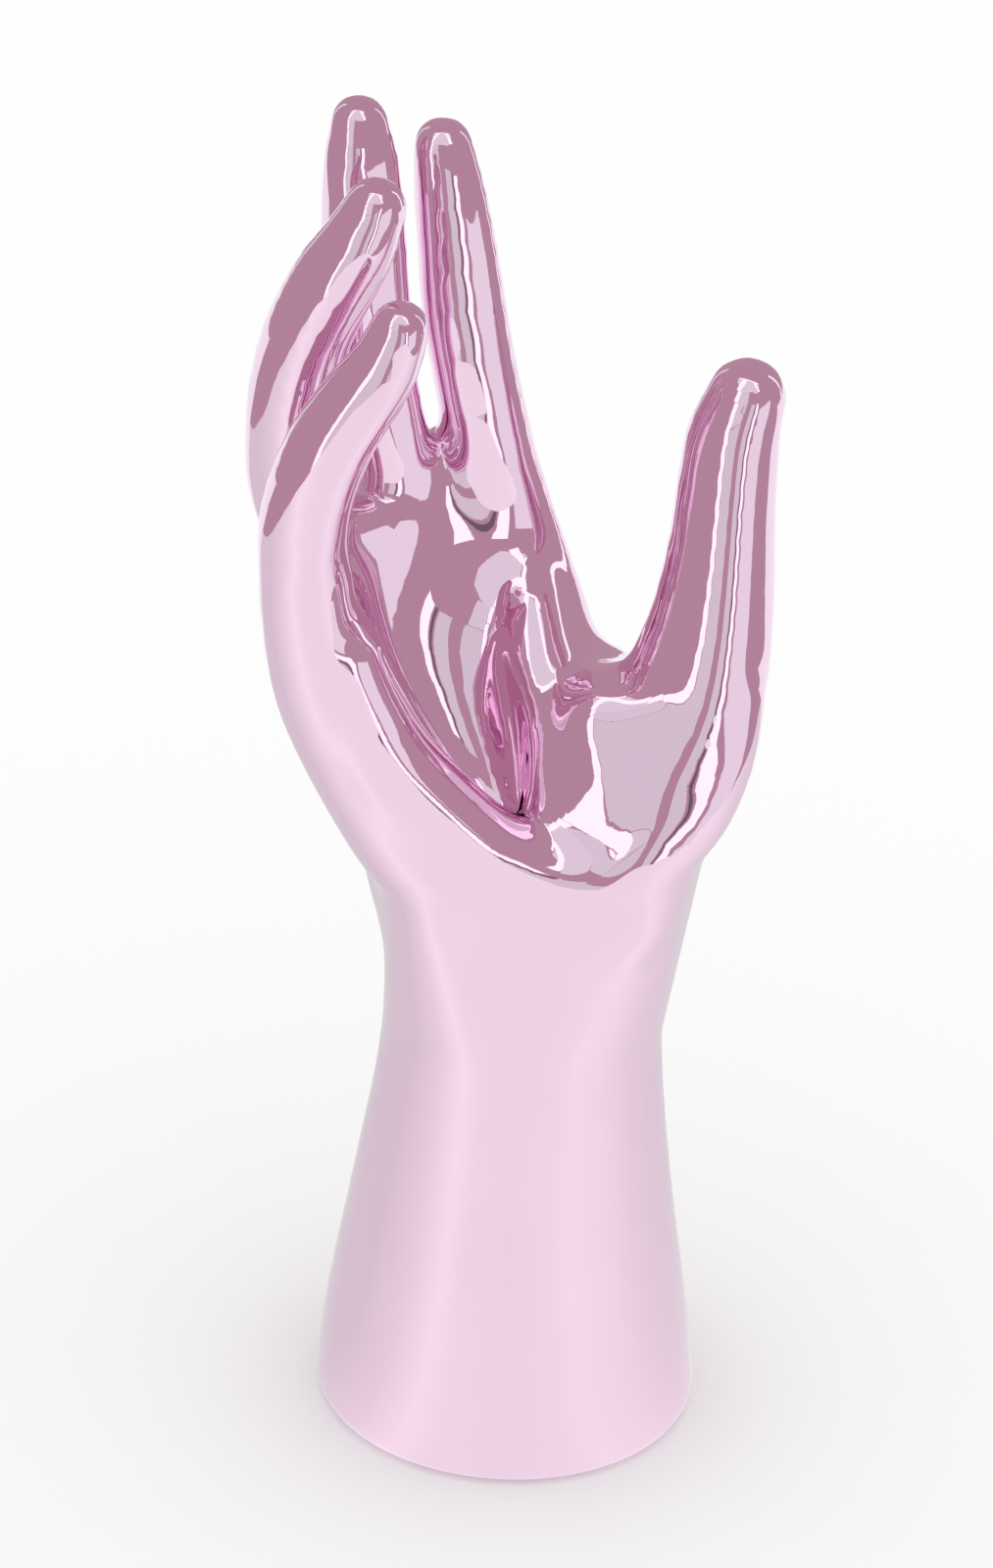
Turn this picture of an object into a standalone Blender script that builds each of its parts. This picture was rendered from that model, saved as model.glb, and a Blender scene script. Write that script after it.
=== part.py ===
"""Jewelry stand in the shape of an upright, cupped right hand on a flared forearm.

The whole stand is one solid casting with a metallised coat. Rings go over the
upright fingers, bangles over the thumb, and the cupped palm holds small pieces.

Frame: metres, +Z up, the origin at the centre of the foot on the table. The palm
opens towards -Y, the thumb stands at +X.
"""

import math
from collections import namedtuple

import bmesh
import bpy
import numpy as np
from mathutils import Matrix, Vector

# A station is the centre of a cross-section, its half-width from side to side
# and its half-depth from the pad or palm side to the back.
Station = namedtuple("Station", "x y z side face")

FOOT_RADIUS = 0.0350
FOOT_ROUNDING = 0.0025
UNDER_TABLE = 0.0100

# The forearm flares to the foot, narrows at the wrist and widens into the back of the hand.
FOREARM = [
    Station(0.0, 0.0, -UNDER_TABLE, FOOT_RADIUS, FOOT_RADIUS),
    Station(0.0, 0.0, 0.0, FOOT_RADIUS, FOOT_RADIUS),
    Station(-0.0003, 0.0, 0.0145, 0.0335, 0.0331),
    Station(-0.0004, 0.0, 0.0275, 0.0316, 0.0309),
    Station(-0.0004, 0.0, 0.0400, 0.0296, 0.0285),
    Station(-0.0003, 0.0, 0.0530, 0.0277, 0.0262),
    Station(-0.0001, 0.0, 0.0650, 0.0261, 0.0243),
    Station(0.0, 0.0, 0.0770, 0.0251, 0.0229),
    Station(-0.0001, 0.0, 0.0890, 0.0250, 0.0222),
    Station(-0.0006, 0.0, 0.0970, 0.0259, 0.0222),
    Station(-0.0012, 0.0, 0.1050, 0.0274, 0.0222),
    Station(-0.0018, 0.0015, 0.1120, 0.0285, 0.0210),
    Station(-0.0026, 0.0060, 0.1200, 0.0285, 0.0175),
    Station(-0.0034, 0.0115, 0.1300, 0.0265, 0.0120),
]
BACK_RISE = 0.0120

# Each digit starts as its bone in the palm and ends at the centre of its round tip.
INDEX = [
    Station(0.0030, 0.0100, 0.1120, 0.0120, 0.0110),
    Station(0.0018, 0.0160, 0.1380, 0.0100, 0.0085),
    Station(-0.0036, 0.0192, 0.1570, 0.0088, 0.0070),
    Station(-0.0070, 0.0201, 0.1670, 0.0085, 0.0066),
    Station(-0.0086, 0.0207, 0.1723, 0.0083, 0.0072),
    Station(-0.0100, 0.0218, 0.1777, 0.0077, 0.0083),
    Station(-0.0115, 0.0225, 0.1837, 0.0076, 0.0085),
    Station(-0.0141, 0.0229, 0.1950, 0.0074, 0.0079),
    Station(-0.0162, 0.0238, 0.2055, 0.0073, 0.0075),
    Station(-0.0180, 0.0252, 0.2170, 0.0068, 0.0070),
    Station(-0.0197, 0.0266, 0.2267, 0.0061, 0.0063),
    Station(-0.0210, 0.0278, 0.2335, 0.0052, 0.0052),
]
MIDDLE = [
    Station(-0.0040, 0.0100, 0.1120, 0.0120, 0.0110),
    Station(-0.0100, 0.0155, 0.1380, 0.0095, 0.0080),
    Station(-0.0178, 0.0175, 0.1567, 0.0084, 0.0068),
    Station(-0.0228, 0.0178, 0.1668, 0.0078, 0.0066),
    Station(-0.0250, 0.0180, 0.1726, 0.0075, 0.0071),
    Station(-0.0278, 0.0185, 0.1792, 0.0071, 0.0080),
    Station(-0.0293, 0.0187, 0.1845, 0.0071, 0.0081),
    Station(-0.0315, 0.0188, 0.1944, 0.0074, 0.0077),
    Station(-0.0332, 0.0196, 0.2088, 0.0073, 0.0074),
    Station(-0.0340, 0.0202, 0.2184, 0.0072, 0.0071),
    Station(-0.0346, 0.0210, 0.2270, 0.0069, 0.0067),
    Station(-0.0350, 0.0217, 0.2339, 0.0062, 0.0060),
    Station(-0.0354, 0.0226, 0.2392, 0.0050, 0.0050),
]
RING = [
    Station(-0.0120, 0.0060, 0.1120, 0.0120, 0.0120),
    Station(-0.0240, 0.0095, 0.1380, 0.0098, 0.0090),
    Station(-0.0345, 0.0080, 0.1570, 0.0082, 0.0074),
    Station(-0.0405, 0.0045, 0.1680, 0.0074, 0.0072),
    Station(-0.0441, 0.0015, 0.1814, 0.0075, 0.0080),
    Station(-0.0447, -0.0010, 0.1936, 0.0076, 0.0078),
    Station(-0.0442, -0.0030, 0.2023, 0.0074, 0.0076),
    Station(-0.0422, -0.0055, 0.2124, 0.0073, 0.0074),
    Station(-0.0381, -0.0080, 0.2231, 0.0071, 0.0072),
    Station(-0.0342, -0.0090, 0.2305, 0.0064, 0.0064),
    Station(-0.0313, -0.0090, 0.2376, 0.0051, 0.0051),
]
LITTLE = [
    Station(0.0120, -0.0050, 0.1000, 0.0110, 0.0120),
    Station(0.0045, -0.0105, 0.1065, 0.0120, 0.0125),
    Station(-0.0050, -0.0118, 0.1105, 0.0118, 0.0122),
    Station(-0.0168, -0.0124, 0.1180, 0.0114, 0.0118),
    Station(-0.0263, -0.0130, 0.1310, 0.0103, 0.0110),
    Station(-0.0355, -0.0140, 0.1480, 0.0092, 0.0098),
    Station(-0.0395, -0.0150, 0.1615, 0.0081, 0.0086),
    Station(-0.0412, -0.0160, 0.1743, 0.0075, 0.0078),
    Station(-0.0413, -0.0178, 0.1821, 0.0075, 0.0077),
    Station(-0.0400, -0.0195, 0.1906, 0.0075, 0.0075),
    Station(-0.0373, -0.0205, 0.1989, 0.0074, 0.0072),
    Station(-0.0341, -0.0210, 0.2052, 0.0070, 0.0068),
    Station(-0.0312, -0.0213, 0.2100, 0.0066, 0.0065),
    Station(-0.0283, -0.0215, 0.2151, 0.0059, 0.0058),
    Station(-0.0263, -0.0218, 0.2214, 0.0049, 0.0049),
]
THUMB = [
    Station(0.0080, -0.0010, 0.0920, 0.0120, 0.0130),
    Station(0.0135, -0.0085, 0.1050, 0.0122, 0.0135),
    Station(0.0174, -0.0080, 0.1170, 0.0121, 0.0135),
    Station(0.0218, -0.0065, 0.1300, 0.0123, 0.0130),
    Station(0.0255, -0.0047, 0.1400, 0.0122, 0.0120),
    Station(0.0278, -0.0031, 0.1505, 0.0121, 0.0110),
    Station(0.0295, -0.0013, 0.1601, 0.0106, 0.0102),
    Station(0.0304, 0.0006, 0.1720, 0.0092, 0.0092),
    Station(0.0307, 0.0023, 0.1817, 0.0085, 0.0085),
    Station(0.0313, 0.0043, 0.1920, 0.0080, 0.0080),
    Station(0.0331, 0.0055, 0.1994, 0.0068, 0.0067),
]
# The ball of the thumb ends in a round shoulder over the palm's hollow.
BALL_OF_THUMB = [
    Station(0.0100, -0.0010, 0.0930, 0.0100, 0.0110),
    Station(0.0160, -0.0119, 0.1065, 0.0102, 0.0112),
    Station(0.0185, -0.0105, 0.1172, 0.0102, 0.0116),
    Station(0.0166, -0.0086, 0.1268, 0.0100, 0.0106),
    Station(0.0130, -0.0067, 0.1358, 0.0099, 0.0100),
    Station(0.0110, -0.0056, 0.1418, 0.0090, 0.0090),
]
# The brim of the cupped palm: one rounded edge from the little finger down to the heel
# and up again to the thumb. Below it the hand faces forward, above it the palm leans back.
BRIM = [
    Station(-0.0350, -0.0145, 0.1595, 0.0070, 0.0085),
    Station(-0.0312, -0.0150, 0.1480, 0.0080, 0.0090),
    Station(-0.0250, -0.0155, 0.1370, 0.0084, 0.0092),
    Station(-0.0165, -0.0157, 0.1280, 0.0084, 0.0092),
    Station(-0.0080, -0.0158, 0.1215, 0.0076, 0.0090),
    Station(0.0010, -0.0170, 0.1180, 0.0060, 0.0076),
    Station(0.0100, -0.0178, 0.1165, 0.0050, 0.0066),
    Station(0.0180, -0.0150, 0.1200, 0.0070, 0.0089),
    Station(0.0250, -0.0115, 0.1275, 0.0086, 0.0092),
    Station(0.0292, -0.0080, 0.1385, 0.0090, 0.0092),
    Station(0.0305, -0.0055, 0.1500, 0.0088, 0.0090),
]
# The bed of the palm leans back from the heel of the hand to the roots of the fingers.
PALM_BED = [
    Station(0.0020, -0.0060, 0.1040, 0.0150, 0.0130),
    Station(0.0010, -0.0020, 0.1160, 0.0170, 0.0120),
    Station(-0.0040, 0.0040, 0.1280, 0.0190, 0.0110),
    Station(-0.0100, 0.0090, 0.1400, 0.0200, 0.0100),
    Station(-0.0160, 0.0135, 0.1530, 0.0200, 0.0085),
    Station(-0.0190, 0.0172, 0.1650, 0.0180, 0.0065),
]
# The ridge between the palm's hollow and the ball of the thumb leans back with the bed.
PALM_RIDGE = [
    Station(0.0085, -0.0085, 0.1120, 0.0060, 0.0100),
    Station(0.0065, -0.0068, 0.1220, 0.0062, 0.0100),
    Station(0.0040, -0.0035, 0.1320, 0.0064, 0.0100),
    Station(0.0014, 0.0022, 0.1420, 0.0066, 0.0100),
    Station(-0.0018, 0.0102, 0.1520, 0.0068, 0.0090),
    Station(-0.0040, 0.0170, 0.1590, 0.0068, 0.0070),
]

# The pads are flatter than the backs: the power of the curve on each side.
PAD_POWER = 2.6
BACK_POWER = 2.0

# Which way each limb's pad faces, as an angle about +Z from -Y towards +X.
LIMBS = [
    (INDEX, 15),
    (MIDDLE, 25),
    (RING, 55),
    (LITTLE, 75),
    (THUMB, -30),
    (BALL_OF_THUMB, -20),
    (BRIM, 0),
    (PALM_BED, 15),
    (PALM_RIDGE, 0),
]

# The palm's flesh fills between neighbouring limbs up to these heights.
WEB_HEIGHTS = [0.1665, 0.1720, 0.1660]
THUMB_WEB_HEIGHT = 0.1450
BALL_WEB_HEIGHT = 0.1480

# The heel of the hand runs straight from the wrist to the limbs' slices here.
WRIST_HEIGHT = 0.0770
HEEL_HEIGHTS = [0.1070, 0.1130, 0.1190]
HEEL_TOP = 0.1225
THUMB_ROOT_FOOT = 0.1050
THUMB_ROOT_TOP = 0.1250

# The hollow of the palm: an egg pressed in along the palm's own slant.
HOLLOW_CENTRE = (-0.0180, -0.0050, 0.1530)
HOLLOW_FOOT = (-0.0028, -0.0095, 0.1195)
HOLLOW_HALF_WIDTH = 0.0120
HOLLOW_HALF_DEPTH = 0.0090

# How finely the clay form is merged, softened and cut down.
GRAIN = 0.0011
FILLING_STEPS = 70
FILLING_PULL = 0.5
SOFTENING_STEPS = 40
SOFTENING_PULL = 0.5
SOFTENING_PUSH = -0.52
SOLID_SHARE = 0.07
ROUNDING_STEPS = 4
RING_POINTS = 48
STEPS_PER_SPAN = 4
FOREARM_STEPS_PER_SPAN = 2
TIP_STEPS = 6
TIP_END_ANGLE = 88.0

COAT_COLOUR = (0.90, 0.68, 0.82, 1.0)
COAT_METALLIC = 0.9
COAT_ROUGHNESS = 0.12


def clear_scene():
    for thing in list(bpy.data.objects):
        bpy.data.objects.remove(thing)


def between(before, start, end, after, share):
    """The Catmull-Rom curve through start and end at a share of the way."""
    squared, cubed = share**2, share**3
    return 0.5 * (
        2 * start
        + (end - before) * share
        + (2 * before - 5 * start + 4 * end - after) * squared
        + (3 * start - before - 3 * end + after) * cubed
    )


def eased(stations, steps):
    """Stations along one smooth curve through the given ones."""
    padded = [stations[0], *stations, stations[-1]]
    made = []
    for span in range(len(stations) - 1):
        four = padded[span : span + 4]
        for step in range(steps):
            share = step / steps
            made.append(Station(*(between(*values, share) for values in zip(*four))))
    return [*made, stations[-1]]


def centre_of(station):
    return Vector((station.x, station.y, station.z))


def pad_direction(angle):
    turn = math.radians(angle)
    return Vector((math.sin(turn), -math.cos(turn), 0.0))


def placed_ring(station, along, pad):
    """The matrix that lays a unit circle down as the station's cross-section."""
    side = along.cross(pad).normalized()
    face = side.cross(along).normalized()
    turn = Matrix((side, face, along)).transposed().to_4x4()
    size = Matrix.Diagonal((station.side, station.face, 1.0, 1.0))
    return Matrix.Translation(centre_of(station)) @ turn @ size


def round_end(last, along, pad, rise):
    """Cross-sections that shrink to a round end beyond the last station."""
    matrices = []
    for step in range(1, TIP_STEPS):
        angle = math.radians(TIP_END_ANGLE * step / (TIP_STEPS - 1))
        tip = centre_of(last) + along * rise * math.sin(angle)
        shrink = math.cos(angle)
        slice_of_tip = Station(*tip, last.side * shrink, last.face * shrink)
        matrices.append(placed_ring(slice_of_tip, along, pad))
    return matrices


def limb_matrices(stations, angle):
    """A limb's cross-sections, square to its centre line, with a round end."""
    pad = pad_direction(angle)
    stations = eased(stations, STEPS_PER_SPAN)
    matrices = []
    for index, station in enumerate(stations):
        ahead = centre_of(stations[min(index + 1, len(stations) - 1)])
        behind = centre_of(stations[max(index - 1, 0)])
        along = (ahead - behind).normalized()
        matrices.append(placed_ring(station, along, pad))
    return matrices + round_end(stations[-1], along, pad, stations[-1].side)


def forearm_matrices():
    up, front = Vector((0, 0, 1)), Vector((0, -1, 0))
    stations = eased(FOREARM, FOREARM_STEPS_PER_SPAN)
    matrices = [placed_ring(station, up, front) for station in stations]
    return matrices + round_end(FOREARM[-1], up, front, BACK_RISE)


def slice_outline(bm, matrix, pad_power):
    """A filled cross-section, rounder at the back than at the pad."""
    disc = bmesh.ops.create_circle(bm, cap_ends=True, segments=RING_POINTS, radius=1.0)
    for vert in disc["verts"]:
        power = pad_power if vert.co.y > 0.0 else BACK_POWER
        vert.co /= (abs(vert.co.x) ** power + abs(vert.co.y) ** power) ** (1.0 / power)
    bmesh.ops.transform(bm, matrix=matrix, verts=disc["verts"])
    return disc["verts"]


def extrude_through(bm, matrices, pad_power=BACK_POWER):
    """A closed solid: one cross-section, extruded from each matrix to the next."""
    face = slice_outline(bm, matrices[0], pad_power)[0].link_faces[0]
    for here, following in zip(matrices, matrices[1:]):
        made = bmesh.ops.extrude_face_region(bm, geom=[face])
        face = next(item for item in made["geom"] if isinstance(item, bmesh.types.BMFace))
        bmesh.ops.transform(bm, matrix=following @ here.inverted(), verts=list(face.verts))


def add_hull(bm, matrices):
    """A convex body stretched over several cross-sections."""
    corners = []
    for matrix in matrices:
        ring = bmesh.ops.create_circle(bm, segments=RING_POINTS, radius=1.0, matrix=matrix)
        corners.extend(ring["verts"])
    hull = bmesh.ops.convex_hull(bm, input=corners)
    spare = {v for v in hull["geom_interior"] if isinstance(v, bmesh.types.BMVert)}
    bmesh.ops.delete(bm, geom=list(spare), context="VERTS")


def nearest_slice(matrices, height):
    return min(matrices, key=lambda matrix: abs(matrix.translation.z - height))


def add_flesh(bm, one, other, top):
    """Fills between two limbs up to a height, slice by slice."""
    low = [matrix for matrix in one if matrix.translation.z <= top]
    for here, following in zip(low, low[1:]):
        pair = [nearest_slice(other, item.translation.z) for item in (here, following)]
        add_hull(bm, [here, following, *pair])


def mesh_object(name, bm):
    bmesh.ops.recalc_face_normals(bm, faces=bm.faces)
    mesh = bpy.data.meshes.new(name)
    bm.to_mesh(mesh)
    bm.free()
    obj = bpy.data.objects.new(name, mesh)
    bpy.context.scene.collection.objects.link(obj)
    return obj


def clay_form():
    """Forearm, palm and digits as overlapping closed shapes in one mesh."""
    bm = bmesh.new()
    forearm = forearm_matrices()
    extrude_through(bm, forearm)
    slices = [limb_matrices(stations, angle) for stations, angle in LIMBS]
    for matrices in slices:
        extrude_through(bm, matrices, PAD_POWER)
    index, middle, ring, little, thumb, ball, brim, *_ = slices
    pairs = [(index, middle), (middle, ring), (ring, little)]
    for (one, other), height in zip(pairs, WEB_HEIGHTS):
        add_flesh(bm, one, other, height)
    add_flesh(bm, thumb, index, THUMB_WEB_HEIGHT)
    add_flesh(bm, ball, thumb, BALL_WEB_HEIGHT)
    wrist = nearest_slice(forearm, WRIST_HEIGHT)
    for limb in (little, ball, thumb):
        for height in HEEL_HEIGHTS:
            add_hull(bm, [wrist, nearest_slice(limb, height)])
    add_hull(bm, [wrist, *(nearest_slice(limb, HEEL_HEIGHTS[0]) for limb in (little, ball))])
    low_brim = [matrix for matrix in brim if matrix.translation.z < HEEL_TOP]
    for pair in zip(low_brim, low_brim[1:]):
        add_hull(bm, [wrist, *pair])
    add_hull(bm, [nearest_slice(forearm, THUMB_ROOT_FOOT), nearest_slice(thumb, THUMB_ROOT_TOP)])
    return mesh_object("clay_form", bm)


def hollow_of_palm():
    """The egg that is pressed into the palm."""
    centre, foot = Vector(HOLLOW_CENTRE), Vector(HOLLOW_FOOT)
    along = centre - foot
    shape = Station(*centre, HOLLOW_HALF_WIDTH, HOLLOW_HALF_DEPTH)
    place = placed_ring(shape, along.normalized(), Vector((0, -1, 0)))
    place = place @ Matrix.Diagonal((1.0, 1.0, along.length, 1.0))
    bm = bmesh.new()
    bmesh.ops.create_uvsphere(
        bm, u_segments=RING_POINTS, v_segments=RING_POINTS, radius=1.0, matrix=place
    )
    return mesh_object("hollow_of_palm", bm)


def add_remesh(obj, name):
    remesh = obj.modifiers.new(name, "REMESH")
    remesh.mode = "VOXEL"
    remesh.voxel_size = GRAIN
    return remesh


def merged_form():
    """One skin round the overlapping shapes, with the hollow pressed in."""
    clay = clay_form()
    hollow = hollow_of_palm()
    add_remesh(clay, "one_skin")
    press = clay.modifiers.new("press_hollow", "BOOLEAN")
    press.operation = "DIFFERENCE"
    press.solver = "EXACT"
    press.object = hollow
    add_remesh(clay, "even_skin")
    bpy.context.view_layer.update()
    graph = bpy.context.evaluated_depsgraph_get()
    skin = bpy.data.meshes.new_from_object(clay.evaluated_get(graph))
    bpy.data.objects.remove(clay)
    bpy.data.objects.remove(hollow)
    return skin


def soften(mesh, strengths, fill_only=False):
    """Draws each point to its neighbours' mean, or pushes it away if the strength is
    negative; filling moves it outward only."""
    count = len(mesh.vertices)
    points = np.empty(count * 3)
    mesh.vertices.foreach_get("co", points)
    points = points.reshape(-1, 3)
    ends = np.empty(len(mesh.edges) * 2, dtype=np.int64)
    mesh.edges.foreach_get("vertices", ends)
    one, other = ends.reshape(-1, 2).T
    neighbours = np.bincount(ends, minlength=count)[:, None]
    normals = np.empty(count * 3)
    for strength in strengths:
        total = np.empty_like(points)
        for axis in range(3):
            total[:, axis] = np.bincount(one, points[other, axis], count)
            total[:, axis] += np.bincount(other, points[one, axis], count)
        move = strength * (total / neighbours - points)
        if fill_only:
            mesh.vertex_normals.foreach_get("vector", normals)
            outward = normals.reshape(-1, 3)
            reach = np.sum(move * outward, axis=1, keepdims=True)
            move = outward * np.maximum(reach, 0.0)
        points += move
        mesh.vertices.foreach_set("co", points.ravel())
        mesh.update()


def thinned(mesh):
    """The softened skin with fewer faces."""
    obj = bpy.data.objects.new("thinned", mesh)
    bpy.context.scene.collection.objects.link(obj)
    thin = obj.modifiers.new("fewer_faces", "DECIMATE")
    thin.ratio = SOLID_SHARE
    bpy.context.view_layer.update()
    graph = bpy.context.evaluated_depsgraph_get()
    fewer = bpy.data.meshes.new_from_object(obj.evaluated_get(graph))
    bpy.data.objects.remove(obj)
    return fewer


def slice_level(bm, height, clear_below=False):
    """Adds an edge loop at a height, and takes away what is below it if asked."""
    return bmesh.ops.bisect_plane(
        bm,
        geom=[*bm.verts, *bm.edges, *bm.faces],
        plane_co=(0.0, 0.0, height),
        plane_no=(0.0, 0.0, 1.0),
        clear_inner=clear_below,
    )["geom_cut"]


def set_on_table(bm):
    """Cuts the foot flat at the table and rounds its edge."""
    rim = slice_level(bm, 0.0, clear_below=True)
    edges = [item for item in rim if isinstance(item, bmesh.types.BMEdge)]
    bmesh.ops.contextual_create(bm, geom=edges)
    for step in range(1, ROUNDING_STEPS + 1):
        turn = math.radians(90.0 * step / ROUNDING_STEPS)
        slice_level(bm, FOOT_ROUNDING * (1.0 - math.cos(turn)))
    for vert in bm.verts:
        below = FOOT_ROUNDING - vert.co.z
        if below <= 0.0:
            continue
        inward = FOOT_ROUNDING - math.sqrt(max(0.0, FOOT_ROUNDING**2 - below**2))
        across = Vector((vert.co.x, vert.co.y, 0.0))
        vert.co -= across.normalized() * inward


def coat():
    material = bpy.data.materials.new("metallised_coat")
    material.use_nodes = True
    shader = material.node_tree.nodes["Principled BSDF"]
    shader.inputs["Base Color"].default_value = COAT_COLOUR
    shader.inputs["Metallic"].default_value = COAT_METALLIC
    shader.inputs["Roughness"].default_value = COAT_ROUGHNESS
    return material


def main():
    clear_scene()
    skin = merged_form()
    soften(skin, [FILLING_PULL] * FILLING_STEPS, fill_only=True)
    soften(skin, [SOFTENING_PULL, SOFTENING_PUSH] * SOFTENING_STEPS)
    bm = bmesh.new()
    bm.from_mesh(thinned(skin))
    set_on_table(bm)
    hand = mesh_object("hand", bm)
    hand.data.shade_smooth()
    hand.data.materials.append(coat())


if __name__ == "__main__":
    main()
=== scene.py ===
"""Looks of the hand-shaped jewelry stand: its mirror-bright pink coat, floor and studio.

The hand's skin has the same sizes and steps as the solid, with finer curves, more
evening and none of its faces thinned, so that the reflections run smoothly over it.
"""

import math
from collections import namedtuple

import bmesh
import bpy
import numpy as np
from mathutils import Matrix, Vector


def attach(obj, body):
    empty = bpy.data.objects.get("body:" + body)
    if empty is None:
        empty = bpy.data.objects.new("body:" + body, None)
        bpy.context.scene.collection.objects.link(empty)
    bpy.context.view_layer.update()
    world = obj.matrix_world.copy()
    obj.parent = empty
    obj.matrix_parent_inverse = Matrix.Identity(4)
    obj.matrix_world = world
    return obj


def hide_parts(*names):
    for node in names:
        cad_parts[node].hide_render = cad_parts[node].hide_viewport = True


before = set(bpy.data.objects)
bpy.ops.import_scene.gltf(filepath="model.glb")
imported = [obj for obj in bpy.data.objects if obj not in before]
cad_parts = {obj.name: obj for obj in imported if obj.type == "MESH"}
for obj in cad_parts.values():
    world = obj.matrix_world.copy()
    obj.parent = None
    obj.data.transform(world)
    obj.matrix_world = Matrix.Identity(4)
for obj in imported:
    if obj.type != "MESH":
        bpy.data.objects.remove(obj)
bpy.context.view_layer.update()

# A station is the centre of a cross-section, its half-width from side to side
# and its half-depth from the pad or palm side to the back.
Station = namedtuple("Station", "x y z side face")

FOOT_RADIUS = 0.0350
FOOT_ROUNDING = 0.0025
UNDER_TABLE = 0.0100

# The forearm flares to the foot, narrows at the wrist and widens into the back of the hand.
FOREARM = [
    Station(0.0, 0.0, -UNDER_TABLE, FOOT_RADIUS, FOOT_RADIUS),
    Station(0.0, 0.0, 0.0, FOOT_RADIUS, FOOT_RADIUS),
    Station(-0.0003, 0.0, 0.0145, 0.0335, 0.0331),
    Station(-0.0004, 0.0, 0.0275, 0.0316, 0.0309),
    Station(-0.0004, 0.0, 0.0400, 0.0296, 0.0285),
    Station(-0.0003, 0.0, 0.0530, 0.0277, 0.0262),
    Station(-0.0001, 0.0, 0.0650, 0.0261, 0.0243),
    Station(0.0, 0.0, 0.0770, 0.0251, 0.0229),
    Station(-0.0001, 0.0, 0.0890, 0.0250, 0.0222),
    Station(-0.0006, 0.0, 0.0970, 0.0259, 0.0222),
    Station(-0.0012, 0.0, 0.1050, 0.0274, 0.0222),
    Station(-0.0018, 0.0015, 0.1120, 0.0285, 0.0210),
    Station(-0.0026, 0.0060, 0.1200, 0.0285, 0.0175),
    Station(-0.0034, 0.0115, 0.1300, 0.0265, 0.0120),
]
BACK_RISE = 0.0120

# Each digit starts as its bone in the palm and ends at the centre of its round tip.
INDEX = [
    Station(0.0030, 0.0100, 0.1120, 0.0120, 0.0110),
    Station(0.0018, 0.0160, 0.1380, 0.0100, 0.0085),
    Station(-0.0036, 0.0192, 0.1570, 0.0088, 0.0070),
    Station(-0.0070, 0.0201, 0.1670, 0.0085, 0.0066),
    Station(-0.0086, 0.0207, 0.1723, 0.0083, 0.0072),
    Station(-0.0100, 0.0218, 0.1777, 0.0077, 0.0083),
    Station(-0.0115, 0.0225, 0.1837, 0.0076, 0.0085),
    Station(-0.0141, 0.0229, 0.1950, 0.0074, 0.0079),
    Station(-0.0162, 0.0238, 0.2055, 0.0073, 0.0075),
    Station(-0.0180, 0.0252, 0.2170, 0.0068, 0.0070),
    Station(-0.0197, 0.0266, 0.2267, 0.0061, 0.0063),
    Station(-0.0210, 0.0278, 0.2335, 0.0052, 0.0052),
]
MIDDLE = [
    Station(-0.0040, 0.0100, 0.1120, 0.0120, 0.0110),
    Station(-0.0100, 0.0155, 0.1380, 0.0095, 0.0080),
    Station(-0.0178, 0.0175, 0.1567, 0.0084, 0.0068),
    Station(-0.0228, 0.0178, 0.1668, 0.0078, 0.0066),
    Station(-0.0250, 0.0180, 0.1726, 0.0075, 0.0071),
    Station(-0.0278, 0.0185, 0.1792, 0.0071, 0.0080),
    Station(-0.0293, 0.0187, 0.1845, 0.0071, 0.0081),
    Station(-0.0315, 0.0188, 0.1944, 0.0074, 0.0077),
    Station(-0.0332, 0.0196, 0.2088, 0.0073, 0.0074),
    Station(-0.0340, 0.0202, 0.2184, 0.0072, 0.0071),
    Station(-0.0346, 0.0210, 0.2270, 0.0069, 0.0067),
    Station(-0.0350, 0.0217, 0.2339, 0.0062, 0.0060),
    Station(-0.0354, 0.0226, 0.2392, 0.0050, 0.0050),
]
RING = [
    Station(-0.0120, 0.0060, 0.1120, 0.0120, 0.0120),
    Station(-0.0240, 0.0095, 0.1380, 0.0098, 0.0090),
    Station(-0.0345, 0.0080, 0.1570, 0.0082, 0.0074),
    Station(-0.0405, 0.0045, 0.1680, 0.0074, 0.0072),
    Station(-0.0441, 0.0015, 0.1814, 0.0075, 0.0080),
    Station(-0.0447, -0.0010, 0.1936, 0.0076, 0.0078),
    Station(-0.0442, -0.0030, 0.2023, 0.0074, 0.0076),
    Station(-0.0422, -0.0055, 0.2124, 0.0073, 0.0074),
    Station(-0.0381, -0.0080, 0.2231, 0.0071, 0.0072),
    Station(-0.0342, -0.0090, 0.2305, 0.0064, 0.0064),
    Station(-0.0313, -0.0090, 0.2376, 0.0051, 0.0051),
]
LITTLE = [
    Station(0.0120, -0.0050, 0.1000, 0.0110, 0.0120),
    Station(0.0045, -0.0105, 0.1065, 0.0120, 0.0125),
    Station(-0.0050, -0.0118, 0.1105, 0.0118, 0.0122),
    Station(-0.0168, -0.0124, 0.1180, 0.0114, 0.0118),
    Station(-0.0263, -0.0130, 0.1310, 0.0103, 0.0110),
    Station(-0.0355, -0.0140, 0.1480, 0.0092, 0.0098),
    Station(-0.0395, -0.0150, 0.1615, 0.0081, 0.0086),
    Station(-0.0412, -0.0160, 0.1743, 0.0075, 0.0078),
    Station(-0.0413, -0.0178, 0.1821, 0.0075, 0.0077),
    Station(-0.0400, -0.0195, 0.1906, 0.0075, 0.0075),
    Station(-0.0373, -0.0205, 0.1989, 0.0074, 0.0072),
    Station(-0.0341, -0.0210, 0.2052, 0.0070, 0.0068),
    Station(-0.0312, -0.0213, 0.2100, 0.0066, 0.0065),
    Station(-0.0283, -0.0215, 0.2151, 0.0059, 0.0058),
    Station(-0.0263, -0.0218, 0.2214, 0.0049, 0.0049),
]
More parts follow.
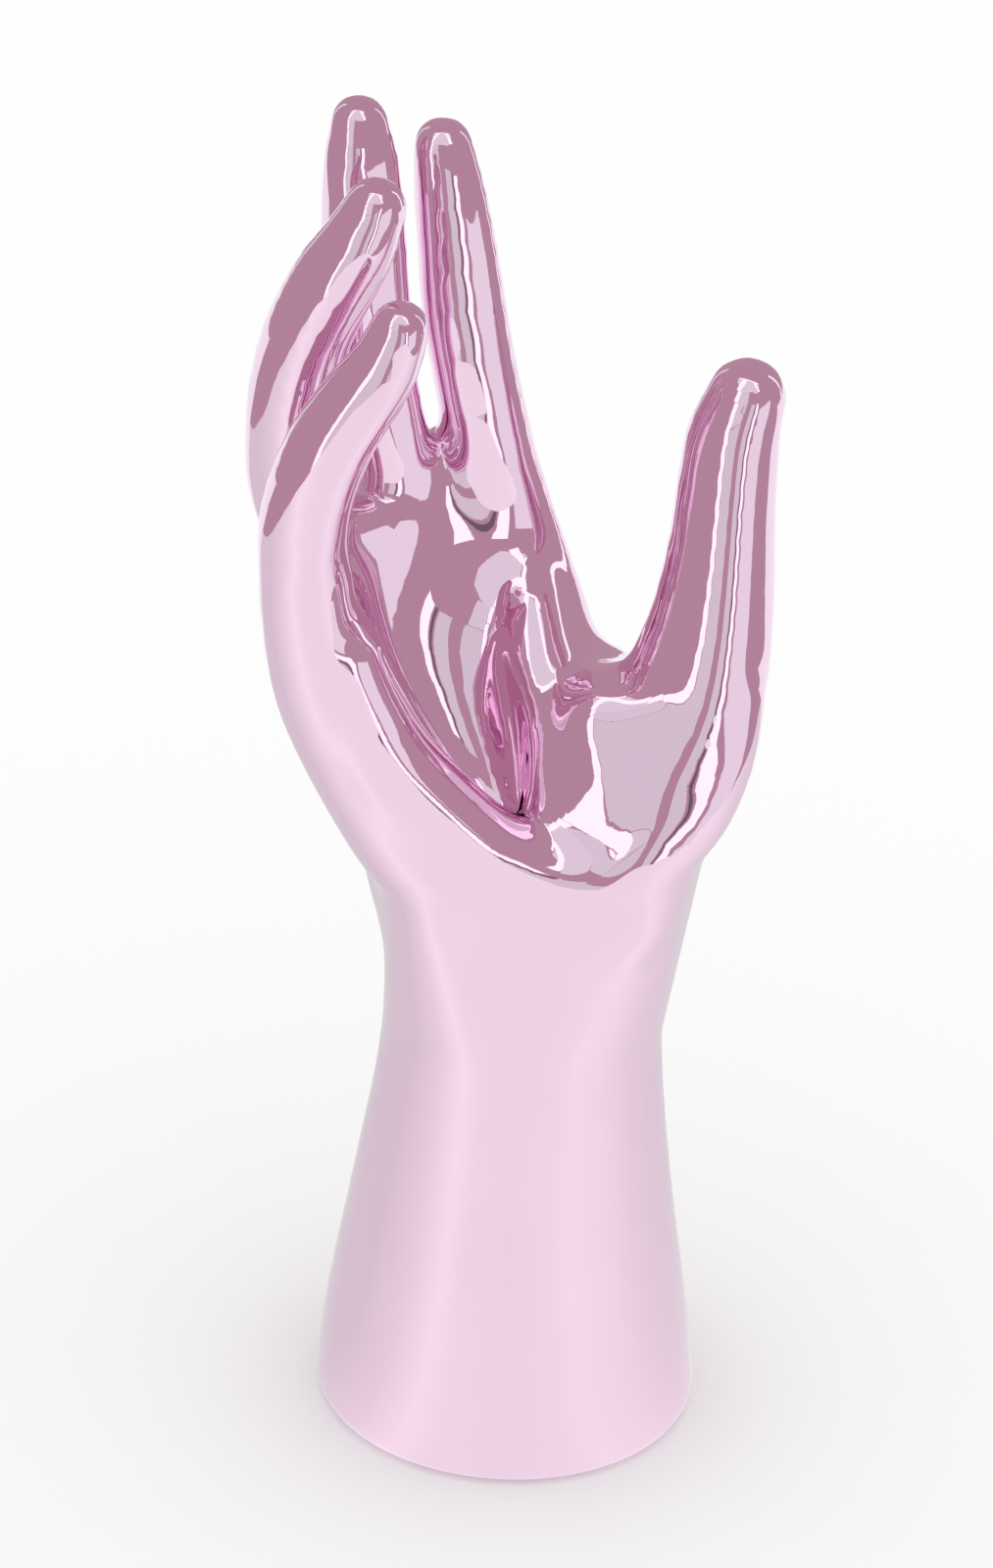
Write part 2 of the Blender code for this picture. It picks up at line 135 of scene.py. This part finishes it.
THUMB = [
    Station(0.0080, -0.0010, 0.0920, 0.0120, 0.0130),
    Station(0.0135, -0.0085, 0.1050, 0.0122, 0.0135),
    Station(0.0174, -0.0080, 0.1170, 0.0121, 0.0135),
    Station(0.0218, -0.0065, 0.1300, 0.0123, 0.0130),
    Station(0.0255, -0.0047, 0.1400, 0.0122, 0.0120),
    Station(0.0278, -0.0031, 0.1505, 0.0121, 0.0110),
    Station(0.0295, -0.0013, 0.1601, 0.0106, 0.0102),
    Station(0.0304, 0.0006, 0.1720, 0.0092, 0.0092),
    Station(0.0307, 0.0023, 0.1817, 0.0085, 0.0085),
    Station(0.0313, 0.0043, 0.1920, 0.0080, 0.0080),
    Station(0.0331, 0.0055, 0.1994, 0.0068, 0.0067),
]
# The ball of the thumb ends in a round shoulder over the palm's hollow.
BALL_OF_THUMB = [
    Station(0.0100, -0.0010, 0.0930, 0.0100, 0.0110),
    Station(0.0160, -0.0119, 0.1065, 0.0102, 0.0112),
    Station(0.0185, -0.0105, 0.1172, 0.0102, 0.0116),
    Station(0.0166, -0.0086, 0.1268, 0.0100, 0.0106),
    Station(0.0130, -0.0067, 0.1358, 0.0099, 0.0100),
    Station(0.0110, -0.0056, 0.1418, 0.0090, 0.0090),
]
# The brim of the cupped palm: one rounded edge from the little finger down to the heel
# and up again to the thumb. Below it the hand faces forward, above it the palm leans back.
BRIM = [
    Station(-0.0350, -0.0145, 0.1595, 0.0070, 0.0085),
    Station(-0.0312, -0.0150, 0.1480, 0.0080, 0.0090),
    Station(-0.0250, -0.0155, 0.1370, 0.0084, 0.0092),
    Station(-0.0165, -0.0157, 0.1280, 0.0084, 0.0092),
    Station(-0.0080, -0.0158, 0.1215, 0.0076, 0.0090),
    Station(0.0010, -0.0170, 0.1180, 0.0060, 0.0076),
    Station(0.0100, -0.0178, 0.1165, 0.0050, 0.0066),
    Station(0.0180, -0.0150, 0.1200, 0.0070, 0.0089),
    Station(0.0250, -0.0115, 0.1275, 0.0086, 0.0092),
    Station(0.0292, -0.0080, 0.1385, 0.0090, 0.0092),
    Station(0.0305, -0.0055, 0.1500, 0.0088, 0.0090),
]
# The bed of the palm leans back from the heel of the hand to the roots of the fingers.
PALM_BED = [
    Station(0.0020, -0.0060, 0.1040, 0.0150, 0.0130),
    Station(0.0010, -0.0020, 0.1160, 0.0170, 0.0120),
    Station(-0.0040, 0.0040, 0.1280, 0.0190, 0.0110),
    Station(-0.0100, 0.0090, 0.1400, 0.0200, 0.0100),
    Station(-0.0160, 0.0135, 0.1530, 0.0200, 0.0085),
    Station(-0.0190, 0.0172, 0.1650, 0.0180, 0.0065),
]
# The ridge between the palm's hollow and the ball of the thumb leans back with the bed.
PALM_RIDGE = [
    Station(0.0085, -0.0085, 0.1120, 0.0060, 0.0100),
    Station(0.0065, -0.0068, 0.1220, 0.0062, 0.0100),
    Station(0.0040, -0.0035, 0.1320, 0.0064, 0.0100),
    Station(0.0014, 0.0022, 0.1420, 0.0066, 0.0100),
    Station(-0.0018, 0.0102, 0.1520, 0.0068, 0.0090),
    Station(-0.0040, 0.0170, 0.1590, 0.0068, 0.0070),
]

# The pads are flatter than the backs: the power of the curve on each side.
PAD_POWER = 2.6
BACK_POWER = 2.0

# Which way each limb's pad faces, as an angle about +Z from -Y towards +X.
LIMBS = [
    (INDEX, 15),
    (MIDDLE, 25),
    (RING, 55),
    (LITTLE, 75),
    (THUMB, -30),
    (BALL_OF_THUMB, -20),
    (BRIM, 0),
    (PALM_BED, 15),
    (PALM_RIDGE, 0),
]

# The palm's flesh fills between neighbouring limbs up to these heights.
WEB_HEIGHTS = [0.1665, 0.1720, 0.1660]
THUMB_WEB_HEIGHT = 0.1450
BALL_WEB_HEIGHT = 0.1480

# The heel of the hand runs straight from the wrist to the limbs' slices here.
WRIST_HEIGHT = 0.0770
HEEL_HEIGHTS = [0.1070, 0.1130, 0.1190]
HEEL_TOP = 0.1225
THUMB_ROOT_FOOT = 0.1050
THUMB_ROOT_TOP = 0.1250

# The hollow of the palm: an egg pressed in along the palm's own slant.
HOLLOW_CENTRE = (-0.0180, -0.0050, 0.1530)
HOLLOW_FOOT = (-0.0028, -0.0095, 0.1195)
HOLLOW_HALF_WIDTH = 0.0120
HOLLOW_HALF_DEPTH = 0.0090

# How finely the clay form is merged and softened. A mirror shows every ripple, so the
# curves are finer and evened further than the solid's.
GRAIN = 0.0011
FILLING_STEPS = 170
FILLING_PULL = 0.5
SOFTENING_STEPS = 120
SOFTENING_PULL = 0.5
SOFTENING_PUSH = -0.51
ROUNDING_STEPS = 4
RING_POINTS = 72
STEPS_PER_SPAN = 4
FOREARM_STEPS_PER_SPAN = 8
TIP_STEPS = 6
TIP_END_ANGLE = 88.0


def between(before, start, end, after, share):
    """The Catmull-Rom curve through start and end at a share of the way."""
    squared, cubed = share**2, share**3
    return 0.5 * (
        2 * start
        + (end - before) * share
        + (2 * before - 5 * start + 4 * end - after) * squared
        + (3 * start - before - 3 * end + after) * cubed
    )


def eased(stations, steps):
    """Stations along one smooth curve through the given ones."""
    padded = [stations[0], *stations, stations[-1]]
    made = []
    for span in range(len(stations) - 1):
        four = padded[span : span + 4]
        for step in range(steps):
            share = step / steps
            made.append(Station(*(between(*values, share) for values in zip(*four))))
    return [*made, stations[-1]]


def centre_of(station):
    return Vector((station.x, station.y, station.z))


def pad_direction(angle):
    turn = math.radians(angle)
    return Vector((math.sin(turn), -math.cos(turn), 0.0))


def placed_ring(station, along, pad):
    """The matrix that lays a unit circle down as the station's cross-section."""
    side = along.cross(pad).normalized()
    face = side.cross(along).normalized()
    turn = Matrix((side, face, along)).transposed().to_4x4()
    size = Matrix.Diagonal((station.side, station.face, 1.0, 1.0))
    return Matrix.Translation(centre_of(station)) @ turn @ size


def round_end(last, along, pad, rise):
    """Cross-sections that shrink to a round end beyond the last station."""
    matrices = []
    for step in range(1, TIP_STEPS):
        angle = math.radians(TIP_END_ANGLE * step / (TIP_STEPS - 1))
        tip = centre_of(last) + along * rise * math.sin(angle)
        shrink = math.cos(angle)
        slice_of_tip = Station(*tip, last.side * shrink, last.face * shrink)
        matrices.append(placed_ring(slice_of_tip, along, pad))
    return matrices


def limb_matrices(stations, angle):
    """A limb's cross-sections, square to its centre line, with a round end."""
    pad = pad_direction(angle)
    stations = eased(stations, STEPS_PER_SPAN)
    matrices = []
    for index, station in enumerate(stations):
        ahead = centre_of(stations[min(index + 1, len(stations) - 1)])
        behind = centre_of(stations[max(index - 1, 0)])
        along = (ahead - behind).normalized()
        matrices.append(placed_ring(station, along, pad))
    return matrices + round_end(stations[-1], along, pad, stations[-1].side)


def forearm_matrices():
    up, front = Vector((0, 0, 1)), Vector((0, -1, 0))
    stations = eased(FOREARM, FOREARM_STEPS_PER_SPAN)
    matrices = [placed_ring(station, up, front) for station in stations]
    return matrices + round_end(FOREARM[-1], up, front, BACK_RISE)


def slice_outline(bm, matrix, pad_power):
    """A filled cross-section, rounder at the back than at the pad."""
    disc = bmesh.ops.create_circle(bm, cap_ends=True, segments=RING_POINTS, radius=1.0)
    for vert in disc["verts"]:
        power = pad_power if vert.co.y > 0.0 else BACK_POWER
        vert.co /= (abs(vert.co.x) ** power + abs(vert.co.y) ** power) ** (1.0 / power)
    bmesh.ops.transform(bm, matrix=matrix, verts=disc["verts"])
    return disc["verts"]


def extrude_through(bm, matrices, pad_power=BACK_POWER):
    """A closed solid: one cross-section, extruded from each matrix to the next."""
    face = slice_outline(bm, matrices[0], pad_power)[0].link_faces[0]
    for here, following in zip(matrices, matrices[1:]):
        made = bmesh.ops.extrude_face_region(bm, geom=[face])
        face = next(item for item in made["geom"] if isinstance(item, bmesh.types.BMFace))
        bmesh.ops.transform(bm, matrix=following @ here.inverted(), verts=list(face.verts))


def add_hull(bm, matrices):
    """A convex body stretched over several cross-sections."""
    corners = []
    for matrix in matrices:
        ring = bmesh.ops.create_circle(bm, segments=RING_POINTS, radius=1.0, matrix=matrix)
        corners.extend(ring["verts"])
    hull = bmesh.ops.convex_hull(bm, input=corners)
    spare = {v for v in hull["geom_interior"] if isinstance(v, bmesh.types.BMVert)}
    bmesh.ops.delete(bm, geom=list(spare), context="VERTS")


def nearest_slice(matrices, height):
    return min(matrices, key=lambda matrix: abs(matrix.translation.z - height))


def add_flesh(bm, one, other, top):
    """Fills between two limbs up to a height, slice by slice."""
    low = [matrix for matrix in one if matrix.translation.z <= top]
    for here, following in zip(low, low[1:]):
        pair = [nearest_slice(other, item.translation.z) for item in (here, following)]
        add_hull(bm, [here, following, *pair])


def mesh_object(name, bm):
    bmesh.ops.recalc_face_normals(bm, faces=bm.faces)
    mesh = bpy.data.meshes.new(name)
    bm.to_mesh(mesh)
    bm.free()
    obj = bpy.data.objects.new(name, mesh)
    bpy.context.scene.collection.objects.link(obj)
    return obj


def clay_form():
    """Forearm, palm and digits as overlapping closed shapes in one mesh."""
    bm = bmesh.new()
    forearm = forearm_matrices()
    extrude_through(bm, forearm)
    slices = [limb_matrices(stations, angle) for stations, angle in LIMBS]
    for matrices in slices:
        extrude_through(bm, matrices, PAD_POWER)
    index, middle, ring, little, thumb, ball, brim, *_ = slices
    pairs = [(index, middle), (middle, ring), (ring, little)]
    for (one, other), height in zip(pairs, WEB_HEIGHTS):
        add_flesh(bm, one, other, height)
    add_flesh(bm, thumb, index, THUMB_WEB_HEIGHT)
    add_flesh(bm, ball, thumb, BALL_WEB_HEIGHT)
    wrist = nearest_slice(forearm, WRIST_HEIGHT)
    for limb in (little, ball, thumb):
        for height in HEEL_HEIGHTS:
            add_hull(bm, [wrist, nearest_slice(limb, height)])
    add_hull(bm, [wrist, *(nearest_slice(limb, HEEL_HEIGHTS[0]) for limb in (little, ball))])
    low_brim = [matrix for matrix in brim if matrix.translation.z < HEEL_TOP]
    for pair in zip(low_brim, low_brim[1:]):
        add_hull(bm, [wrist, *pair])
    add_hull(bm, [nearest_slice(forearm, THUMB_ROOT_FOOT), nearest_slice(thumb, THUMB_ROOT_TOP)])
    return mesh_object("clay_form", bm)


def hollow_of_palm():
    """The egg that is pressed into the palm."""
    centre, foot = Vector(HOLLOW_CENTRE), Vector(HOLLOW_FOOT)
    along = centre - foot
    shape = Station(*centre, HOLLOW_HALF_WIDTH, HOLLOW_HALF_DEPTH)
    place = placed_ring(shape, along.normalized(), Vector((0, -1, 0)))
    place = place @ Matrix.Diagonal((1.0, 1.0, along.length, 1.0))
    bm = bmesh.new()
    bmesh.ops.create_uvsphere(
        bm, u_segments=RING_POINTS, v_segments=RING_POINTS, radius=1.0, matrix=place
    )
    return mesh_object("hollow_of_palm", bm)


def add_remesh(obj, name):
    remesh = obj.modifiers.new(name, "REMESH")
    remesh.mode = "VOXEL"
    remesh.voxel_size = GRAIN
    return remesh


def merged_form():
    """One skin round the overlapping shapes, with the hollow pressed in."""
    clay = clay_form()
    hollow = hollow_of_palm()
    add_remesh(clay, "one_skin")
    press = clay.modifiers.new("press_hollow", "BOOLEAN")
    press.operation = "DIFFERENCE"
    press.solver = "EXACT"
    press.object = hollow
    add_remesh(clay, "even_skin")
    bpy.context.view_layer.update()
    graph = bpy.context.evaluated_depsgraph_get()
    skin = bpy.data.meshes.new_from_object(clay.evaluated_get(graph))
    bpy.data.objects.remove(clay)
    bpy.data.objects.remove(hollow)
    return skin


def soften(mesh, strengths, fill_only=False):
    """Draws each point to its neighbours' mean, or pushes it away if the strength is
    negative; filling moves it outward only."""
    count = len(mesh.vertices)
    points = np.empty(count * 3)
    mesh.vertices.foreach_get("co", points)
    points = points.reshape(-1, 3)
    ends = np.empty(len(mesh.edges) * 2, dtype=np.int64)
    mesh.edges.foreach_get("vertices", ends)
    one, other = ends.reshape(-1, 2).T
    neighbours = np.bincount(ends, minlength=count)[:, None]
    normals = np.empty(count * 3)
    for strength in strengths:
        total = np.empty_like(points)
        for axis in range(3):
            total[:, axis] = np.bincount(one, points[other, axis], count)
            total[:, axis] += np.bincount(other, points[one, axis], count)
        move = strength * (total / neighbours - points)
        if fill_only:
            mesh.vertex_normals.foreach_get("vector", normals)
            outward = normals.reshape(-1, 3)
            reach = np.sum(move * outward, axis=1, keepdims=True)
            move = outward * np.maximum(reach, 0.0)
        points += move
        mesh.vertices.foreach_set("co", points.ravel())
        mesh.update()


def slice_level(bm, height, clear_below=False):
    """Adds an edge loop at a height, and takes away what is below it if asked."""
    return bmesh.ops.bisect_plane(
        bm,
        geom=[*bm.verts, *bm.edges, *bm.faces],
        plane_co=(0.0, 0.0, height),
        plane_no=(0.0, 0.0, 1.0),
        clear_inner=clear_below,
    )["geom_cut"]


def set_on_table(bm):
    """Cuts the foot flat at the table and rounds its edge."""
    rim = slice_level(bm, 0.0, clear_below=True)
    edges = [item for item in rim if isinstance(item, bmesh.types.BMEdge)]
    bmesh.ops.contextual_create(bm, geom=edges)
    for step in range(1, ROUNDING_STEPS + 1):
        turn = math.radians(90.0 * step / ROUNDING_STEPS)
        slice_level(bm, FOOT_ROUNDING * (1.0 - math.cos(turn)))
    for vert in bm.verts:
        below = FOOT_ROUNDING - vert.co.z
        if below <= 0.0:
            continue
        inward = FOOT_ROUNDING - math.sqrt(max(0.0, FOOT_ROUNDING**2 - below**2))
        across = Vector((vert.co.x, vert.co.y, 0.0))
        vert.co -= across.normalized() * inward


class Socket:
    """A value in a shader: arithmetic on it adds Math nodes."""

    def __init__(self, nodes, output):
        self.nodes = nodes
        self.output = output

    def joined(self, operation, one, other):
        return self.nodes.add(
            "ShaderNodeMath", {"operation": operation}, {0: one, 1: other}
        ).out("Value")

    def __add__(self, other):
        return self.joined("ADD", self, other)

    def __mul__(self, other):
        return self.joined("MULTIPLY", self, other)

    def __radd__(self, other):
        return self.joined("ADD", other, self)

    def __rmul__(self, other):
        return self.joined("MULTIPLY", other, self)


class Node:
    """One node, with its outputs as sockets."""

    def __init__(self, nodes, node):
        self.nodes = nodes
        self.node = node

    def out(self, name):
        return Socket(self.nodes, self.node.outputs[name])


class Nodes:
    """Adds nodes to one shader: type, settings first, then values or links."""

    def __init__(self, tree):
        self.tree = tree
        tree.nodes.clear()

    def feed(self, entry, value):
        """Links a node's input to a socket, or gives it a value."""
        if isinstance(value, Socket):
            self.tree.links.new(value.output, entry)
        else:
            entry.default_value = value

    def add(self, kind, settings=None, inputs=None):
        node = self.tree.nodes.new(kind)
        for name, value in (settings or {}).items():
            setattr(node, name, value)
        for name, value in (inputs or {}).items():
            self.feed(node.inputs[name], value)
        return Node(self, node)

    def mixed(self, share, one, other):
        """A colour between two colours, by a share from 0 to 1."""
        node = self.tree.nodes.new("ShaderNodeMix")
        node.data_type = "RGBA"
        for place, value in ((0, share), (6, one), (7, other)):
            self.feed(node.inputs[place], value)
        return Socket(self, node.outputs[2])


def material_nodes(name):
    material = bpy.data.materials.new(name)
    material.use_nodes = True
    return material, Nodes(material.node_tree)


# The coat: a pink lacquer over a metallised layer.
COAT_PINK = (0.91, 0.68, 0.83, 1.0)
COAT_DEEP_PINK = (0.89, 0.64, 0.81, 1.0)
COAT_EDGE_PINK = (0.98, 0.90, 0.96, 1.0)
# Noise cells per metre, and the noise's levels of detail.
CLOUD_SCALE = 45.0
CLOUD_DETAIL = 3.0
PEEL_SCALE = 420.0
PEEL_DETAIL = 1.0
PEEL_DEPTH = 0.000004
COAT_SMOOTHEST = 0.020
COAT_ROUGHEST = 0.055
LACQUER_SHARE = 1.0
LACQUER_ROUGHNESS = 0.03


def metallised_coat():
    """Mirror-bright pink with faint clouds in its tint and a faint orange peel."""
    material, nodes = material_nodes("metallised_coat")
    place = nodes.add("ShaderNodeTexCoord").out("Object")
    clouds = nodes.add(
        "ShaderNodeTexNoise", {}, {"Vector": place, "Scale": CLOUD_SCALE, "Detail": CLOUD_DETAIL}
    ).out("Fac")
    peel = nodes.add(
        "ShaderNodeTexNoise", {}, {"Vector": place, "Scale": PEEL_SCALE, "Detail": PEEL_DETAIL}
    ).out("Fac")
    colour = nodes.mixed(clouds, COAT_PINK, COAT_DEEP_PINK)
    roughness = COAT_SMOOTHEST + (COAT_ROUGHEST - COAT_SMOOTHEST) * clouds * peel
    skin = nodes.add(
        "ShaderNodeBump", {}, {"Height": peel, "Strength": 1.0, "Distance": PEEL_DEPTH}
    ).out("Normal")
    shader = nodes.add(
        "ShaderNodeBsdfPrincipled",
        {},
        {
            "Base Color": colour,
            "Metallic": 1.0,
            "Roughness": roughness,
            "Specular Tint": COAT_EDGE_PINK,
            "Coat Weight": LACQUER_SHARE,
            "Coat Roughness": LACQUER_ROUGHNESS,
            "Normal": skin,
        },
    ).out("BSDF")
    nodes.add("ShaderNodeOutputMaterial", {}, {"Surface": shader})
    return material


def skin_of_hand():
    """The whole stand as one smooth skin in its pink coat."""
    skin = merged_form()
    soften(skin, [FILLING_PULL] * FILLING_STEPS, fill_only=True)
    soften(skin, [SOFTENING_PULL, SOFTENING_PUSH] * SOFTENING_STEPS)
    bm = bmesh.new()
    bm.from_mesh(skin)
    set_on_table(bm)
    hand = mesh_object("hand_skin", bm)
    hand.data.shade_smooth()
    hand.data.materials.append(metallised_coat())
    return hand


# The studio: a pale floor, and what only reflections see: a glowing sheet in front that stands in
# for lit white paper, with painted light and shade, a white backdrop behind, and soft panels and
# strips of light round the stand.
FLOOR_REACH = 6.0
FLOOR_DROP = 0.0004
PAPER_DROP = 0.0008
FLOOR_PALE = (0.97, 0.97, 0.97, 1.0)
PAPER_LEFT = -0.34
PAPER_RIGHT = 0.34
PAPER_FRONT = -1.0
PAPER_BACK = 0.2
BACKDROP_HALF_WIDTH = 0.7
BACKDROP_END = 1.2
BACKDROP_GLOW = 0.98
# How bright the paper's painted light is by direction: the angle round +Z from -Y towards +X.
# It is dimmer behind and to the sides as painted shade, with painted bright bands towards -40 and
# 38 degrees.
PAPER_BRIGHTNESS = [
    (-180, 0.68),
    (-90, 0.75),
    (-60, 0.88),
    (-40, 1.04),
    (-25, 0.96),
    (0, 0.94),
    (25, 0.97),
    (38, 1.02),
    (60, 0.97),
    (90, 0.86),
    (180, 0.66),
]
WALL_GREY = (0.482, 0.327, 0.383, 1.0)
SKY_PALE = (1.03, 1.03, 1.03, 1.0)
STUDIO_CENTRE = Vector((0.0, 0.0, 0.17))

# A panel of light: the middle's angle round +Z from -Y towards +X and its angle
# above level, its half-widths in degrees, its colour and the share of light.
Panel = namedtuple("Panel", "around above half_across half_up colour strength")
PANEL_DISTANCE = 1.6
WHITE = (1.0, 1.02, 1.03)
LAVENDER = (0.80, 0.82, 0.83)
PALE_LILAC = (0.93, 0.93, 0.96)
SHADE = (0.16, 0.13, 0.15)
PANELS = [
    Panel(-19.0, -2.0, 10.5, 21.0, LAVENDER, 0.90),
    Panel(9.0, -2.0, 6.0, 21.0, LAVENDER, 0.90),
    Panel(-34.5, 0.0, 4.0, 24.0, WHITE, 1.3),
    Panel(17.5, -2.0, 1.0, 21.0, SHADE, 1.0),
    Panel(23.5, -2.0, 3.6, 21.0, WHITE, 1.3),
    Panel(52.0, -8.0, 20.0, 15.0, PALE_LILAC, 0.95),
    Panel(-20.5, 28.5, 9.5, 9.0, LAVENDER, 0.95),
    Panel(-36.5, 31.0, 3.8, 6.5, WHITE, 1.3),
    Panel(-7.0, 56.0, 24.0, 18.0, LAVENDER, 1.0),
    Panel(-40.0, 56.0, 3.5, 18.0, WHITE, 1.3),
    Panel(30.0, 56.0, 3.5, 18.0, WHITE, 1.3),
    Panel(-7.0, 77.0, 20.0, 1.8, WHITE, 1.3),
    Panel(-140.0, 10.0, 5.0, 30.0, LAVENDER, 0.9),
    Panel(125.0, 10.0, 3.0, 30.0, WHITE, 1.2),
]


def only_in_reflections(obj):
    obj.visible_camera = False
    obj.visible_diffuse = False
    obj.visible_shadow = False
    obj.visible_volume_scatter = False
    obj.visible_transmission = False


def glowing(name, colour, strength):
    material, nodes = material_nodes(name)
    glow = nodes.add(
        "ShaderNodeEmission", {}, {"Color": (*colour[:3], 1.0), "Strength": strength}
    ).out("Emission")
    nodes.add("ShaderNodeOutputMaterial", {}, {"Surface": glow})
    return material


def paper_painted_light():
    """Painted light that stands in for lit white paper: a glow that is brighter in some
    directions round the stand and dimmer behind it as painted shade.
    """
    material, nodes = material_nodes("paper_painted_light")
    place = nodes.add("ShaderNodeTexCoord").out("Object")
    parts = nodes.add("ShaderNodeSeparateXYZ", {}, {"Vector": place})
    turn = nodes.add(
        "ShaderNodeMath", {"operation": "ARCTAN2"}, {0: parts.out("X"), 1: -1 * parts.out("Y")}
    ).out("Value")
    share = turn * (0.5 / math.pi) + 0.5
    ramp = nodes.add("ShaderNodeValToRGB", {}, {"Fac": share})
    stops = ramp.node.color_ramp.elements
    for angle, bright in PAPER_BRIGHTNESS[1:-1]:
        stops.new(angle / 360 + 0.5).color = (bright, bright, bright, 1.0)
    for stop, (_, bright) in ((stops[0], PAPER_BRIGHTNESS[0]), (stops[-1], PAPER_BRIGHTNESS[-1])):
        stop.color = (bright, bright, bright, 1.0)
    glow = nodes.add("ShaderNodeEmission", {}, {"Color": ramp.out("Color"), "Strength": 1.0})
    nodes.add("ShaderNodeOutputMaterial", {}, {"Surface": glow.out("Emission")})
    return material


def sheet(name, left, right, front, back, height):
    bm = bmesh.new()
    place = Matrix.Translation(((left + right) / 2, (front + back) / 2, height))
    size = Matrix.Diagonal(((right - left) / 2, (back - front) / 2, 1.0, 1.0))
    bmesh.ops.create_grid(bm, x_segments=1, y_segments=1, size=1.0, matrix=place @ size)
    return mesh_object(name, bm)


def around(angle, above):
    turn, lift = math.radians(angle), math.radians(above)
    level = math.cos(lift)
    return Vector((math.sin(turn) * level, -math.cos(turn) * level, math.sin(lift)))


def panel_of_light(name, panel):
    """A flat glowing panel that faces the stand."""
    out = around(panel.around, panel.above)
    across = Vector((0, 0, 1)).cross(out).normalized()
    upward = out.cross(across)
    turn = Matrix((across, upward, out)).transposed().to_4x4()
    wide = PANEL_DISTANCE * math.tan(math.radians(panel.half_across))
    tall = PANEL_DISTANCE * math.tan(math.radians(panel.half_up))
    place = Matrix.Translation(STUDIO_CENTRE + out * PANEL_DISTANCE) @ turn
    bm = bmesh.new()
    bmesh.ops.create_grid(
        bm,
        x_segments=1,
        y_segments=1,
        size=1.0,
        matrix=place @ Matrix.Diagonal((wide, tall, 1.0, 1.0)),
    )
    obj = mesh_object(name, bm)
    obj.data.materials.append(glowing(name, panel.colour, panel.strength))
    only_in_reflections(obj)
    return obj


def build_studio():
    floor = sheet("floor", -FLOOR_REACH, FLOOR_REACH, -FLOOR_REACH, FLOOR_REACH, -FLOOR_DROP)
    material, nodes = material_nodes("pale_floor")
    matte = nodes.add("ShaderNodeBsdfDiffuse", {}, {"Color": FLOOR_PALE}).out("BSDF")
    nodes.add("ShaderNodeOutputMaterial", {}, {"Surface": matte})
    floor.data.materials.append(material)
    floor.visible_glossy = False
    # The paper is no lamp: it glows with painted light and shade, and only reflections see it.
    paper = sheet("paper", PAPER_LEFT, PAPER_RIGHT, PAPER_FRONT, PAPER_BACK, -PAPER_DROP)
    paper.data.materials.append(paper_painted_light())
    only_in_reflections(paper)
    sides = (-BACKDROP_HALF_WIDTH, BACKDROP_HALF_WIDTH)
    backdrop = sheet("backdrop", *sides, PAPER_BACK, BACKDROP_END, -PAPER_DROP)
    backdrop.data.materials.append(glowing("backdrop_white", WHITE, BACKDROP_GLOW))
    only_in_reflections(backdrop)
    for number, panel in enumerate(PANELS):
        panel_of_light(f"panel_{number}", panel)


def build_world():
    """Reflections see a dim pink-grey room; the camera and the floor see pale light."""
    world = bpy.data.worlds.new("studio")
    world.use_nodes = True
    bpy.context.scene.world = world
    nodes = Nodes(world.node_tree)
    ray = nodes.add("ShaderNodeLightPath").out("Is Glossy Ray")
    colour = nodes.mixed(ray, SKY_PALE, WALL_GREY)
    glow = nodes.add("ShaderNodeBackground", {}, {"Color": colour, "Strength": 1.0})
    nodes.add("ShaderNodeOutputWorld", {}, {"Surface": glow.out("Background")})


# The camera of the photograph: a long lens, from the front and above.
CAMERA_PLACE = Vector((-0.0066334, -0.9666988, 0.6496809))
CAMERA_AIM = Vector((-0.0066334, 0.0, 0.1248062))
CAMERA_ROLL = 2.7
CAMERA_LENS = 143.54
CAMERA_SENSOR = 36.0


def build_camera():
    data = bpy.data.cameras.new("camera")
    data.lens = CAMERA_LENS
    data.sensor_width = CAMERA_SENSOR
    camera = bpy.data.objects.new("camera", data)
    bpy.context.scene.collection.objects.link(camera)
    ahead = (CAMERA_AIM - CAMERA_PLACE).normalized()
    right = Vector((1, 0, 0))
    turn = Matrix((right, right.cross(ahead), -ahead)).transposed().to_4x4()
    roll = Matrix.Rotation(math.radians(CAMERA_ROLL), 4, "Z")
    camera.matrix_world = Matrix.Translation(CAMERA_PLACE) @ turn @ roll
    bpy.context.scene.camera = camera


hand_skin = skin_of_hand()
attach(hand_skin, "root")
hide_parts("hand")
build_studio()
build_world()
build_camera()
bpy.context.scene.view_settings.view_transform = "Standard"
